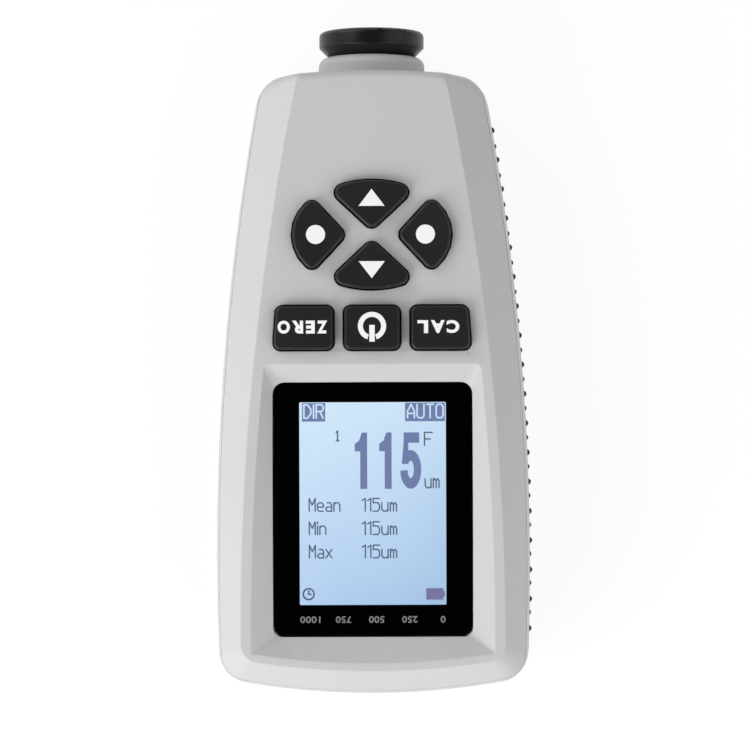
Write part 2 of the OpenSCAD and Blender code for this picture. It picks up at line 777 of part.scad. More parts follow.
// A key's outline is a list of arcs: centre, radius, and the directions it runs between.
// A quarter of the pad has a point, sloped sides, a bowed outer edge and two corners.
function pad_quarter(tip, apex, bow_r, r) =
  let (
    bow_c = [0, apex - bow_r],
    point = [0, tip + r / cos(pad_lean)],
    k = point.y - bow_c.y,
    reach = bow_r - r,
    side = sqrt(reach * reach - k * k * cos(pad_lean) * cos(pad_lean)) - k * sin(pad_lean),
    corner = [side * cos(pad_lean), side * sin(pad_lean) + point.y],
    lean = heading(bow_c, corner)
  )
  [
    [point, r, -90 - pad_lean, pad_lean - 90],
    [corner, r, pad_lean - 90, lean],
    [bow_c, bow_r, lean, 180 - lean],
    [[-corner.x, corner.y], r, 180 - lean, 270 - pad_lean]
  ];
// The same arcs turned about the pad's middle
function on_pad(arcs, turn) = [for (a = arcs)
  [
    [a[0].x * cos(turn) - a[0].y * sin(turn), pad_y + a[0].x * sin(turn) + a[0].y * cos(turn)],
    a[1], a[2] + turn, a[3] + turn
  ]];
// A convex shape with round corners, from its corner points
function rounded(pts, r) = [for (i = [0 : len(pts) - 1])
  let (
    p = pts[i],
    along = heading(pts[(i + len(pts) - 1) % len(pts)], p),
    turn = (heading(p, pts[(i + 1) % len(pts)]) - along + 360) % 360,
    inward = along + turn / 2 + 90
  )
  [p + r / cos(turn / 2) * [cos(inward), sin(inward)], r, along - 90, along + turn - 90]];
// The points of an outline, drawn a distance further in
function trace(arcs, d) = [for (a = arcs) each arc(a[0], a[1] - d, a[2], a[3], corner_steps)];
function key_ring(arcs, d, z) = [for (p = trace(arcs, d)) [p.x, p.y, z]];

up_arcs = on_pad(pad_quarter(pad_tip, pad_ry, pad_bow_r, pad_corner), 0);
down_arcs = on_pad(pad_quarter(pad_tip, pad_ry, pad_bow_r, pad_corner), 180);
left_arcs = on_pad(pad_quarter(pad_side_tip, pad_rx, pad_side_bow_r, pad_corner), 90);
right_arcs = on_pad(pad_quarter(pad_side_tip, pad_rx, pad_side_bow_r, pad_corner), -90);
row_low = row_y - row_h / 2;
row_high = row_y + row_h / 2;
end_in = row_mid_w / 2 + row_split;
end_out = end_in + row_end_w;
power_arcs = rounded([
  [-row_mid_w / 2, row_low], [row_mid_w / 2, row_low],
  [row_mid_w / 2, row_high], [-row_mid_w / 2, row_high]
], row_corner);
cal_arcs = rounded([
  [end_in, row_low], [end_out + row_flare / 2, row_low],
  [end_out - row_flare / 2, row_high], [end_in, row_high]
], row_corner);
zero_arcs = rounded([
  [-end_out - row_flare / 2, row_low], [-end_in, row_low],
  [-end_in, row_high], [-end_out + row_flare / 2, row_high]
], row_corner);
key_arcs = [up_arcs, down_arcs, left_arcs, right_arcs, zero_arcs, power_arcs, cal_arcs];

// A key: flange under the front wall, cap with a rounded edge above, stem below
module key(arcs, stem) color(rubber_black) {
  skin([
    key_ring(arcs, -flange_out, flange_z),
    key_ring(arcs, -flange_out, flange_z + flange_t),
    key_ring(arcs, 0, flange_z + flange_t),
    key_ring(arcs, 0, key_top_z - key_edge),
    key_ring(arcs, key_edge * (1 - cos(45)), key_top_z - key_edge * (1 - sin(45))),
    key_ring(arcs, key_edge, key_top_z)
  ]);
  translate([stem.x, stem.y, stem_z]) cylinder(r = stem_r, h = flange_z - stem_z + flange_t / 2);
}

module key_up() key(up_arcs, up_stem);
module key_down() key(down_arcs, down_stem);
module key_left() key(left_arcs, left_stem);
module key_right() key(right_arcs, right_stem);
module key_zero() key(zero_arcs, zero_stem);
module key_power() key(power_arcs, power_stem);
module key_cal() key(cal_arcs, cal_stem);

// Probe

keeper_y = nose_y - wall - draft_nose - keeper_t;
bore_r = sleeve_r + sleeve_gap;
barrel_bore_r = stop_r + sleeve_gap;
stop_y = keeper_y - stop_t;
spring_y = stop_y - probe_spring_l;
barrel_y = spring_y - cap_t;
sleeve_face_y = guard_face_y - guard_edge;
winding_y = sleeve_face_y - 2 * sleeve_wall - winding_l;
core_y = winding_y - sleeve_wall;
coil_mid_r = (sleeve_r + stop_r) / 2;

module probe_guard() color(rubber_black) on_probe() difference() {
  rotate_extrude() polygon(concat(
    [
      [0, barrel_y], [barrel_r, barrel_y], [barrel_r, keeper_y],
      [keeper_r, keeper_y], [keeper_r, keeper_y + keeper_t], [neck_r, keeper_y + keeper_t],
      [neck_r, collar_y + guard_gap / 2], [guard_root_r, collar_y + guard_gap],
      [guard_r, guard_face_y - guard_t]
    ],
    [for (a = [0 : 90 / edge_steps : 90])
      [guard_r - guard_edge * (1 - cos(a)), guard_face_y - guard_edge * (1 - sin(a))]],
    [[0, guard_face_y]]
  ));
  translate([0, 0, barrel_y - over]) cylinder(r = bore_r, h = guard_face_y - barrel_y + 2 * over);
  translate([0, 0, barrel_y - over]) cylinder(r = barrel_bore_r, h = keeper_y + lip_gap - barrel_y + over);
}

module probe_sleeve() color(steel) on_probe() difference() {
  union() {
    translate([0, 0, stop_y]) cylinder(r = stop_r, h = stop_t);
    translate([0, 0, stop_y]) cylinder(r = sleeve_r, h = sleeve_face_y - stop_y);
  }
  translate([0, 0, stop_y - over])
    cylinder(r = sleeve_r - sleeve_wall, h = sleeve_face_y - sleeve_wall - stop_y + over);
  translate([0, 0, stop_y]) cylinder(r = core_r + screw_gap, h = sleeve_face_y);
}

// The tip's cap is part of a ball that meets the core's edge
module probe_core() color(steel) on_probe() {
  ball_r = (core_r * core_r + tip_out * tip_out) / (2 * tip_out);
  translate([0, 0, core_y]) cylinder(r = core_r, h = guard_face_y - core_y);
  intersection() {
    translate([0, 0, guard_face_y + tip_out - ball_r]) sphere(ball_r);
    translate([0, 0, guard_face_y - seam]) cylinder(r = core_r, h = tip_out + over);
  }
}

module probe_winding() color([0.75, 0.42, 0.2]) on_probe(winding_y) difference() {
  cylinder(r = sleeve_r - sleeve_wall - screw_gap, h = winding_l);
  translate([0, 0, -over]) cylinder(r = core_r + screw_gap, h = winding_l + 2 * over);
}

module probe_spring() color(steel) on_probe(spring_y + screw_gap)
  coil(coil_mid_r, coil_mid_r, probe_wire_r, probe_spring_l - 2 * screw_gap, probe_turns);

// The cap closes the barrel, and its tube inside the spring stops the sleeve
module probe_cap() color(rubber_black) on_probe(barrel_y) difference() {
  union() {
    cylinder(r = barrel_bore_r - screw_gap, h = cap_t);
    cylinder(r = sleeve_r, h = cap_t + probe_spring_l - probe_travel - lip_gap);
  }
  translate([0, 0, -over]) cylinder(r = sleeve_r - sleeve_wall, h = cap_t + probe_spring_l + over);
}

// Batteries and contacts: the left cell points to the nose, the right one to the tail

module cell() {
  rotate([-90, 0, 0]) {
    cylinder(d = cell_d, h = cell_l - nub_h);
    cylinder(r = nub_r, h = cell_l);
  }
}

module contact_spring() {
  rotate([-90, 0, 0]) coil(coil_r, coil_r / 2, contact_wire_r, spring_l - 2 * screw_gap, contact_turns);
}

module battery_left() color([0.2, 0.25, 0.35])
  translate([-cell_x, bay_tail_y + plate_t + spring_l, cell_z]) cell();

module battery_right() color([0.2, 0.25, 0.35])
  translate([cell_x, bay_head_y - plate_t - spring_l, cell_z]) rotate([0, 0, 180]) cell();

module contact_springs() color(steel) {
  translate([-cell_x, bay_tail_y + plate_t + screw_gap, cell_z]) contact_spring();
  translate([cell_x, bay_head_y - plate_t - screw_gap, cell_z]) rotate([0, 0, 180]) contact_spring();
}

module contact_bridge() color(steel)
  block(-bay_hw + cell_gap, bay_hw - cell_gap, bay_tail_y, bay_tail_y + plate_t,
    door_top_z + 2 * cell_gap, bay_ceiling_z - cell_gap);

module contact_terminals() color(steel) both_sides()
  block(cell_gap, bay_hw - cell_gap, bay_head_y - plate_t, bay_head_y,
    door_top_z + 2 * cell_gap, bay_ceiling_z - cell_gap);

// Screws

// A screw that points up, with a cross slot in the underside of its head
module screw(r, l, head_r, head_h) difference() {
  union() {
    cylinder(r = head_r, h = head_h);
    cylinder(r = r, h = head_h + l);
  }
  for (turn = [0, 90])
    rotate(turn) cube([2 * slot_reach * head_r, r / 2, head_h], center = true);
}

module case_screws() color(steel) both_sides() for (p = case_posts)
  translate([p.x, p.y, case_head_sunk]) screw(case_screw_r, case_screw_l, case_head_r, case_head_h);

module board_screws() color(steel) both_sides() for (p = board_posts)
  translate([p.x, p.y, board_z - board_head_h])
    screw(board_screw_r, board_screw_l, board_head_r, board_head_h);

front_shell();
rear_shell();
battery_door();
grip_left();
grip_right();
display_lens();
lens_frame();
lcd_glass();
lcd_backlight();
main_board();
processor();
keypad_mat();
key_up();
key_down();
key_left();
key_right();
key_zero();
key_power();
key_cal();
probe_guard();
probe_sleeve();
probe_core();
probe_winding();
probe_spring();
probe_cap();
battery_left();
battery_right();
contact_springs();
contact_bridge();
contact_terminals();
case_screws();
board_screws();
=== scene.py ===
import json
import math

import bpy
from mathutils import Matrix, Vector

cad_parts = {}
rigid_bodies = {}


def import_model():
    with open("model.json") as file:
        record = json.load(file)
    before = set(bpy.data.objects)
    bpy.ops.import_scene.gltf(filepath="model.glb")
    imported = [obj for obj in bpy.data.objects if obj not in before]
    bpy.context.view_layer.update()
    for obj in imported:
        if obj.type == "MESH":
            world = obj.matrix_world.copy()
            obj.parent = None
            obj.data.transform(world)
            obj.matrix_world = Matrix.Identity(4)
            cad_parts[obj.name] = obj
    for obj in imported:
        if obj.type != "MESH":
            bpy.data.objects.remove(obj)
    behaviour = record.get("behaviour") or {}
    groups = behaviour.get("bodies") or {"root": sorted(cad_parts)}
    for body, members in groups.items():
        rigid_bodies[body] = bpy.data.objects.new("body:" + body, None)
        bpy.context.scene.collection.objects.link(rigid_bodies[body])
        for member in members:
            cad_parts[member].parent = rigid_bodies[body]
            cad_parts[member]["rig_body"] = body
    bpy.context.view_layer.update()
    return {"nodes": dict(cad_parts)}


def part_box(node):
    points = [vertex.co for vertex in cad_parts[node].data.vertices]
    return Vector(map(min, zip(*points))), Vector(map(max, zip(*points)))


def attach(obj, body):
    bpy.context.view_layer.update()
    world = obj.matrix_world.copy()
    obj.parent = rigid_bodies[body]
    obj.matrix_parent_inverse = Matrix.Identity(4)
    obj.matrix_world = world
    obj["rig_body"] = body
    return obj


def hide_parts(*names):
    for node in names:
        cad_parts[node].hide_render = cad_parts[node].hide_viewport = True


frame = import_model()


# Rear shell: the lower half of the case, moulded in light grey ABS with a fine
# spark-eroded texture. It carries the battery bay and the grips, and four screws from
# the back pull it against the front shell.
MM = 0.001
case_tone = (0.57, 0.57, 0.572, 1)
case_tone_dark = (0.54, 0.54, 0.545, 1)
case_edge_r = 0.22 * MM
case_weld = 0.03 * MM
cad_weld = 0.002 * MM
flat_bend = math.radians(0.3)
quad_bend = math.radians(6)
quad_skew = math.radians(180)


def select_only(piece):
    """Deselects everything else and makes the piece the active one."""
    bpy.ops.object.select_all(action="DESELECT")
    piece.select_set(True)
    bpy.context.view_layer.objects.active = piece


def skin_copy(node, name, weld=cad_weld):
    """A copy of a CAD node as one closed skin of broad faces, so that its edges can be rounded."""
    piece = bpy.data.objects.new(name, frame["nodes"][node].data.copy())
    bpy.context.scene.collection.objects.link(piece)
    select_only(piece)
    bpy.ops.object.mode_set(mode="EDIT")
    bpy.ops.mesh.select_all(action="SELECT")
    bpy.ops.mesh.remove_doubles(threshold=weld)
    bpy.ops.mesh.dissolve_limited(angle_limit=flat_bend)
    bpy.ops.mesh.select_all(action="SELECT")
    bpy.ops.mesh.tris_convert_to_quads(face_threshold=quad_bend, shape_threshold=quad_skew)
    bpy.ops.object.mode_set(mode="OBJECT")
    return piece


def anywhere(p):
    return True


def round_edges(piece, radius, segments, chosen=anywhere, sharper_than=26):
    """Bevels the edges whose faces meet at more than the angle and whose middle is chosen."""
    select_only(piece)
    bpy.ops.object.mode_set(mode="EDIT")
    bpy.ops.mesh.select_mode(type="EDGE")
    bpy.ops.mesh.select_all(action="DESELECT")
    bpy.ops.mesh.edges_select_sharp(sharpness=math.radians(sharper_than))
    bpy.ops.object.mode_set(mode="OBJECT")
    mesh = piece.data
    for edge in mesh.edges:
        middle = (mesh.vertices[edge.vertices[0]].co + mesh.vertices[edge.vertices[1]].co) / 2
        edge.select = edge.select and chosen(middle)
    bpy.ops.object.mode_set(mode="EDIT")
    bpy.ops.mesh.bevel(offset=radius, segments=segments, affect="EDGES",
                       clamp_overlap=False, loop_slide=False)
    bpy.ops.object.mode_set(mode="OBJECT")


def smooth(piece, angle=40):
    """Smooth shading up to an angle, with the flats kept flat by their area."""
    select_only(piece)
    bpy.ops.object.shade_smooth_by_angle(angle=math.radians(angle))
    bpy.ops.object.modifier_add(type="WEIGHTED_NORMAL")
    piece.modifiers[-1].keep_sharp = True
    piece.modifiers[-1].weight = 100
    bpy.ops.object.modifier_apply(modifier=piece.modifiers[-1].name)


def finish_with(piece, material):
    piece.data.materials.clear()
    piece.data.materials.append(material)


def stand_for(piece, node, material):
    """The piece takes a CAD node's place: it joins the node's body, gets a finish, and the node is
    hidden.
    """
    finish_with(piece, material)
    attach(piece, frame["nodes"][node]["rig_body"])
    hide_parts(node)


def grain_group():
    """Fine moulded texture: a slow drift of tone, an uneven gloss and a sparkle of bumps."""
    group = bpy.data.node_groups.new("moulded grain", "ShaderNodeTree")
    sockets = group.interface
    sockets.new_socket("Grain Scale", in_out="INPUT", socket_type="NodeSocketFloat")
    sockets.new_socket("Drift Scale", in_out="INPUT", socket_type="NodeSocketFloat")
    sockets.new_socket("Tone", in_out="OUTPUT", socket_type="NodeSocketFloat")
    sockets.new_socket("Gloss", in_out="OUTPUT", socket_type="NodeSocketFloat")
    sockets.new_socket("Height", in_out="OUTPUT", socket_type="NodeSocketFloat")
    nodes, links = group.nodes, group.links
    given = nodes.new("NodeGroupInput")
    result = nodes.new("NodeGroupOutput")
    place = nodes.new("ShaderNodeTexCoord")
    drift = nodes.new("ShaderNodeTexNoise")
    drift.inputs["Detail"].default_value = 3
    grain = nodes.new("ShaderNodeTexNoise")
    grain.inputs["Detail"].default_value = 2
    grain.inputs["Roughness"].default_value = 0.6
    pits = nodes.new("ShaderNodeTexVoronoi")
    both = nodes.new("ShaderNodeMath")
    both.operation = "ADD"
    mixed = nodes.new("ShaderNodeMath")
    mixed.operation = "ADD"
    mixed.use_clamp = True
    grain_share = 0.5
    fine_tone = nodes.new("ShaderNodeMath")
    fine_tone.operation = "MULTIPLY_ADD"
    fine_tone.inputs[1].default_value = grain_share
    fine_tone.inputs[2].default_value = -grain_share / 2
    links.new(given.outputs["Drift Scale"], drift.inputs["Scale"])
    links.new(given.outputs["Grain Scale"], grain.inputs["Scale"])
    links.new(given.outputs["Grain Scale"], pits.inputs["Scale"])
    for texture in (drift, grain, pits):
        links.new(place.outputs["Object"], texture.inputs["Vector"])
    links.new(grain.outputs["Fac"], both.inputs[0])
    links.new(pits.outputs["Distance"], both.inputs[1])
    links.new(grain.outputs["Fac"], fine_tone.inputs[0])
    links.new(drift.outputs["Fac"], mixed.inputs[0])
    links.new(fine_tone.outputs["Value"], mixed.inputs[1])
    links.new(mixed.outputs["Value"], result.inputs["Tone"])
    links.new(drift.outputs["Fac"], result.inputs["Gloss"])
    links.new(both.outputs["Value"], result.inputs["Height"])
    return group


moulded_grain = grain_group()
drift_size = 20 * MM
gloss_drift = 0.05


def moulded(name, tone, tone_dark, rough, grain_size, depth):
    """A moulded surface: two close tones, an even gloss with a little drift, and grain."""
    material = bpy.data.materials.new(name)
    material.use_nodes = True
    nodes, links = material.node_tree.nodes, material.node_tree.links
    shader = nodes["Principled BSDF"]
    grain = nodes.new("ShaderNodeGroup")
    grain.node_tree = moulded_grain
    grain.inputs["Grain Scale"].default_value = 1 / grain_size
    grain.inputs["Drift Scale"].default_value = 1 / drift_size
    colour = nodes.new("ShaderNodeMix")
    colour.data_type = "RGBA"
    colour.inputs["A"].default_value = tone_dark
    colour.inputs["B"].default_value = tone
    gloss = nodes.new("ShaderNodeMapRange")
    gloss.inputs["To Min"].default_value = rough - gloss_drift
    gloss.inputs["To Max"].default_value = rough + gloss_drift
    bump = nodes.new("ShaderNodeBump")
    bump.inputs["Distance"].default_value = depth
    bump.inputs["Strength"].default_value = 0.6
    links.new(grain.outputs["Tone"], colour.inputs["Factor"])
    links.new(colour.outputs["Result"], shader.inputs["Base Color"])
    links.new(grain.outputs["Gloss"], gloss.inputs["Value"])
    links.new(gloss.outputs["Result"], shader.inputs["Roughness"])
    links.new(grain.outputs["Height"], bump.inputs["Height"])
    links.new(bump.outputs["Normal"], shader.inputs["Normal"])
    return material


case_plastic = moulded("case plastic", case_tone, case_tone_dark,
                       rough=0.55, grain_size=0.28 * MM, depth=0.012 * MM)
rear_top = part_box("rear_shell")[1].z
back_band = 0.4 * MM
rear_rim_band = 1.4 * MM
rear_shell = skin_copy("rear_shell", "rear_case", case_weld)
round_edges(rear_shell, case_edge_r, segments=2,
            chosen=lambda p: p.z < back_band or p.z > rear_top - rear_rim_band)
smooth(rear_shell)
stand_for(rear_shell, "rear_shell", case_plastic)


# Side grips: soft black rubber strips with two staggered rows of dots, moulded in one
# piece each and pressed into channels along the sides of the rear shell.
grip_tone = (0.012, 0.012, 0.0125, 1)
grip_tone_dark = (0.008, 0.008, 0.0085, 1)
grip_rubber = moulded("grip rubber", grip_tone, grip_tone_dark,
                      rough=0.6, grain_size=0.2 * MM, depth=0.01 * MM)
grip_rubber.node_tree.nodes["Principled BSDF"].inputs["Specular IOR Level"].default_value = 0.3
for side in ("left", "right"):
    strip = skin_copy("grip_" + side, "side_grip_" + side)
    smooth(strip, angle=50)
    stand_for(strip, "grip_" + side, grip_rubber)


# Cells and their contacts: two AAA cells with plain printed jackets, laid side by side
# between wire springs and nickel plated strips that are pressed into the bay's ends.
jacket_tone = (0.035, 0.06, 0.12, 1)
jacket_tone_dark = (0.028, 0.05, 0.1, 1)
band_copper = (0.45, 0.22, 0.08, 1)
cell_band = 12 * MM
cell_edge_r = 0.35 * MM
wire_tone = (0.62, 0.62, 0.64)
strip_tone = (0.68, 0.66, 0.6)
line_shade = 0.85
line_gloss = 0.12


def dress(node, material):
    """A CAD node that already has its true shape only gets its finish."""
    frame["nodes"][node].material_slots[0].material = material


def metal(name, colour, rough, line_size, depth, direction="Y", rings=False):
    """Drawn, turned or plated metal, with fine lines across one direction or in rings."""
    material = bpy.data.materials.new(name)
    material.use_nodes = True
    nodes, links = material.node_tree.nodes, material.node_tree.links
    shader = nodes["Principled BSDF"]
    shader.inputs["Metallic"].default_value = 1
    place = nodes.new("ShaderNodeTexCoord")
    lines = nodes.new("ShaderNodeTexWave")
    lines.wave_type = "RINGS" if rings else "BANDS"
    if rings:
        lines.rings_direction = direction
    else:
        lines.bands_direction = direction
    lines.inputs["Scale"].default_value = 1 / line_size
    lines.inputs["Distortion"].default_value = 3
    lines.inputs["Detail"].default_value = 3
    tone = nodes.new("ShaderNodeMix")
    tone.data_type = "RGBA"
    tone.inputs["A"].default_value = [line_shade * part for part in colour] + [1]
    tone.inputs["B"].default_value = [*colour, 1]
    gloss = nodes.new("ShaderNodeMapRange")
    gloss.inputs["To Min"].default_value = rough
    gloss.inputs["To Max"].default_value = rough + line_gloss
    bump = nodes.new("ShaderNodeBump")
    bump.inputs["Distance"].default_value = depth
    bump.inputs["Strength"].default_value = 0.4
    links.new(place.outputs["Object"], lines.inputs["Vector"])
    links.new(lines.outputs["Fac"], tone.inputs["Factor"])
    links.new(tone.outputs["Result"], shader.inputs["Base Color"])
    links.new(lines.outputs["Fac"], gloss.inputs["Value"])
    links.new(gloss.outputs["Result"], shader.inputs["Roughness"])
    links.new(lines.outputs["Fac"], bump.inputs["Height"])
    links.new(bump.outputs["Normal"], shader.inputs["Normal"])
    return material


def cell_jacket(name, band_low, band_high):
    """A printed jacket: dark blue with a bright copper band at one end."""
    material = moulded(name, jacket_tone, jacket_tone_dark,
                       rough=0.3, grain_size=0.6 * MM, depth=0.002 * MM)
    nodes, links = material.node_tree.nodes, material.node_tree.links
    shader = nodes["Principled BSDF"]
    jacket = shader.inputs["Base Color"].links[0].from_socket
    place = nodes.new("ShaderNodeTexCoord")
    axes = nodes.new("ShaderNodeSeparateXYZ")
    above = nodes.new("ShaderNodeMath")
    above.operation = "GREATER_THAN"
    above.inputs[1].default_value = band_low
    below = nodes.new("ShaderNodeMath")
    below.operation = "LESS_THAN"
    below.inputs[1].default_value = band_high
    inside = nodes.new("ShaderNodeMath")
    inside.operation = "MULTIPLY"
    banded = nodes.new("ShaderNodeMix")
    banded.data_type = "RGBA"
    banded.inputs["B"].default_value = band_copper
    links.new(place.outputs["Object"], axes.inputs["Vector"])
    links.new(axes.outputs["Y"], above.inputs[0])
    links.new(axes.outputs["Y"], below.inputs[0])
    links.new(above.outputs["Value"], inside.inputs[0])
    links.new(below.outputs["Value"], inside.inputs[1])
    links.new(inside.outputs["Value"], banded.inputs["Factor"])
    links.new(jacket, banded.inputs["A"])
    links.new(banded.outputs["Result"], shader.inputs["Base Color"])
    links.new(inside.outputs["Value"], shader.inputs["Metallic"])
    return material


for side, toward_nose in (("left", True), ("right", False)):
    low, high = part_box("battery_" + side)
    band = (high.y - cell_band, high.y) if toward_nose else (low.y, low.y + cell_band)
    cell = skin_copy("battery_" + side, "cell_" + side)
    round_edges(cell, cell_edge_r, segments=3, sharper_than=60)
    smooth(cell, angle=50)
    stand_for(cell, "battery_" + side, cell_jacket("cell jacket " + side, *band))
spring_wire = metal("spring wire", wire_tone, rough=0.22, line_size=0.4 * MM, depth=0.003 * MM)
dress("contact_springs", spring_wire)
plated_strip = metal("plated strip", strip_tone, rough=0.26, line_size=0.5 * MM, depth=0.003 * MM,
                     direction="X")
dress("contact_bridge", plated_strip)
dress("contact_terminals", plated_strip)


# Battery door: a flat grey cover that slides along two rails from the tail, with a patch
# of moulded thumb grooves. It is the same plastic as the case.
door_edge_r = 0.12 * MM
door = skin_copy("battery_door", "sliding_door")
round_edges(door, door_edge_r, segments=2, sharper_than=60)
smooth(door)
stand_for(door, "battery_door", case_plastic)


# Circuit board: green glass-epoxy with a drawn copper pattern under the mask, a moulded
# chip on its underside, and four screws into the front shell's posts.
mask_tone = (0.02, 0.11, 0.035, 1)
mask_tone_dark = (0.012, 0.075, 0.024, 1)
track_tone = (0.05, 0.2, 0.07, 1)
track_pitch = 6 * MM
chip_tone = (0.016, 0.016, 0.017, 1)
chip_tone_dark = (0.011, 0.011, 0.012, 1)
screw_tone = (0.55, 0.55, 0.57)


def board_mask():
    """Solder mask over copper: lanes of lighter green where tracks run under it."""
    material = moulded("board mask", mask_tone, mask_tone_dark,
                       rough=0.3, grain_size=0.5 * MM, depth=0.003 * MM)
    nodes, links = material.node_tree.nodes, material.node_tree.links
    shader = nodes["Principled BSDF"]
    mask = shader.inputs["Base Color"].links[0].from_socket
    place = nodes.new("ShaderNodeTexCoord")
    tracks = nodes.new("ShaderNodeTexBrick")
    tracks.inputs["Scale"].default_value = 1 / track_pitch
    tracks.inputs["Mortar Size"].default_value = 0.03
    tracks.inputs["Color1"].default_value = (0, 0, 0, 1)
    tracks.inputs["Color2"].default_value = (0, 0, 0, 1)
    tracks.inputs["Mortar"].default_value = (1, 1, 1, 1)
    tinted = nodes.new("ShaderNodeMix")
    tinted.data_type = "RGBA"
    tinted.inputs["B"].default_value = track_tone
    links.new(place.outputs["Object"], tracks.inputs["Vector"])
    links.new(tracks.outputs["Color"], tinted.inputs["Factor"])
    links.new(mask, tinted.inputs["A"])
    links.new(tinted.outputs["Result"], shader.inputs["Base Color"])
    return material


dress("main_board", board_mask())
dress("processor", moulded("chip package", chip_tone, chip_tone_dark,
                           rough=0.5, grain_size=0.2 * MM, depth=0.006 * MM))
screw_steel = metal("screw steel", screw_tone, rough=0.3, line_size=0.3 * MM, depth=0.003 * MM,
                    direction="Z")
dress("board_screws", screw_steel)


# Display: a lit panel on a white light guide. The panel glows pale blue, brightest at its
# upper left. Its segments are thin marks just above the glass: blue figures, darker small
# words, a violet cell, and light headings on blue fields.
panel_border = 2.6 * MM
panel_low, panel_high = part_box("lcd_glass")
view_low = panel_low.copy()
view_high = panel_high.copy()
view_low.xy = panel_low.x + panel_border, panel_low.y + panel_border
view_high.xy = panel_high.x - panel_border, panel_high.y - panel_border
panel_unlit = (0.02, 0.025, 0.03, 1)
panel_strength = 1.08
ink_strength = 1.0
cloud_size = 14 * MM
cloud_share = 0.25
guide_tone = (0.8, 0.82, 0.84, 1)
guide_tone_dark = (0.74, 0.76, 0.78, 1)
cell_tone = (0.19, 0.18, 0.34, 1)

# Tones of the light at the left and right ends of the view's lower and upper edges.
panel_tones = [((0.465, 0.627, 0.86, 1), (0.355, 0.525, 0.75, 1)),
               ((0.65, 0.81, 0.94, 1), (0.59, 0.745, 0.91, 1))]
figure_tones = [((0.145, 0.185, 0.38, 1), (0.15, 0.2, 0.4, 1)),
                ((0.165, 0.21, 0.41, 1), (0.17, 0.215, 0.42, 1))]
heading_tones = [((0.6, 0.76, 0.95, 1), (0.58, 0.74, 0.93, 1)),
                 ((0.66, 0.82, 0.98, 1), (0.62, 0.79, 0.96, 1))]
word_tones = [((0.085, 0.115, 0.2, 1), (0.085, 0.115, 0.2, 1)),
              ((0.095, 0.125, 0.21, 1), (0.095, 0.125, 0.21, 1))]


def lit(name, strength):
    """A dark surface that gives off light of its own."""
    material = bpy.data.materials.new(name)
    material.use_nodes = True
    shader = material.node_tree.nodes["Principled BSDF"]
    shader.inputs["Base Color"].default_value = panel_unlit
    shader.inputs["Roughness"].default_value = 0.35
    shader.inputs["Emission Strength"].default_value = strength
    return material


def glow(name, edge_tones, strength):
    """Light that drifts over the view between the tones of its four corners."""
    material = lit(name, strength)
    nodes, links = material.node_tree.nodes, material.node_tree.links
    shader = nodes["Principled BSDF"]
    place = nodes.new("ShaderNodeTexCoord")
    axes = nodes.new("ShaderNodeSeparateXYZ")
    across = nodes.new("ShaderNodeMapRange")
    across.inputs["From Min"].default_value = view_low.x
    across.inputs["From Max"].default_value = view_high.x
    along = nodes.new("ShaderNodeMapRange")
    along.inputs["From Min"].default_value = view_low.y
    along.inputs["From Max"].default_value = view_high.y
    cloud = nodes.new("ShaderNodeTexNoise")
    cloud.inputs["Scale"].default_value = 1 / cloud_size
    cloud.inputs["Detail"].default_value = 1
    sway = nodes.new("ShaderNodeMath")
    sway.operation = "MULTIPLY_ADD"
    sway.inputs[1].default_value = cloud_share
    sway.inputs[2].default_value = -cloud_share / 2
    height = nodes.new("ShaderNodeMath")
    height.operation = "ADD"
    height.use_clamp = True
    rows = []
    for left, right in edge_tones:
        row = nodes.new("ShaderNodeMix")
        row.data_type = "RGBA"
        row.inputs["A"].default_value = left
        row.inputs["B"].default_value = right
        links.new(across.outputs["Result"], row.inputs["Factor"])
        rows.append(row)
    panel = nodes.new("ShaderNodeMix")
    panel.data_type = "RGBA"
    links.new(place.outputs["Object"], axes.inputs["Vector"])
    links.new(place.outputs["Object"], cloud.inputs["Vector"])
    links.new(axes.outputs["X"], across.inputs["Value"])
    links.new(axes.outputs["Y"], along.inputs["Value"])
    links.new(cloud.outputs["Fac"], sway.inputs[0])
    links.new(along.outputs["Result"], height.inputs[0])
    links.new(sway.outputs["Value"], height.inputs[1])
    links.new(height.outputs["Value"], panel.inputs["Factor"])
    links.new(rows[0].outputs["Result"], panel.inputs["A"])
    links.new(rows[1].outputs["Result"], panel.inputs["B"])
    links.new(panel.outputs["Result"], shader.inputs["Emission Color"])
    return material


dress("lcd_glass", glow("lit panel", panel_tones, panel_strength))
dress("lcd_backlight", moulded("light guide", guide_tone, guide_tone_dark,
                               rough=0.25, grain_size=0.5 * MM, depth=0.003 * MM))
figure_ink = glow("segment ink", figure_tones, ink_strength)
heading_ink = glow("segment light", heading_tones, ink_strength)
word_ink = glow("word ink", word_tones, ink_strength)
cell_ink = lit("cell ink", ink_strength)
cell_ink.node_tree.nodes["Principled BSDF"].inputs["Emission Color"].default_value = cell_tone
segment_t = 0.02 * MM
ink_level = 0.5
heading_level = 1.6


def put(piece, x, y, z):
    """Moves a finished shape to its place and leaves that place in its mesh."""
    piece.location = (x, y, z)
    select_only(piece)
    bpy.ops.object.transform_apply(location=True, rotation=True, scale=True)


def flat_shape(name, outlines, thick):
    """A thin plate cut along closed outlines, standing on z = 0."""
    curve = bpy.data.curves.new(name, "CURVE")
    curve.dimensions = "2D"
    curve.fill_mode = "BOTH"
    curve.extrude = thick / 2
    for points in outlines:
        spline = curve.splines.new("POLY")
        spline.points.add(len(points) - 1)
        for knot, (x, y) in zip(spline.points, points):
            knot.co = (x, y, 0, 1)
        spline.use_cyclic_u = True
    piece = bpy.data.objects.new(name, curve)
    bpy.context.scene.collection.objects.link(piece)
    select_only(piece)
    bpy.ops.object.convert(target="MESH")
    piece = bpy.context.active_object
    put(piece, 0, 0, thick / 2)
    return piece


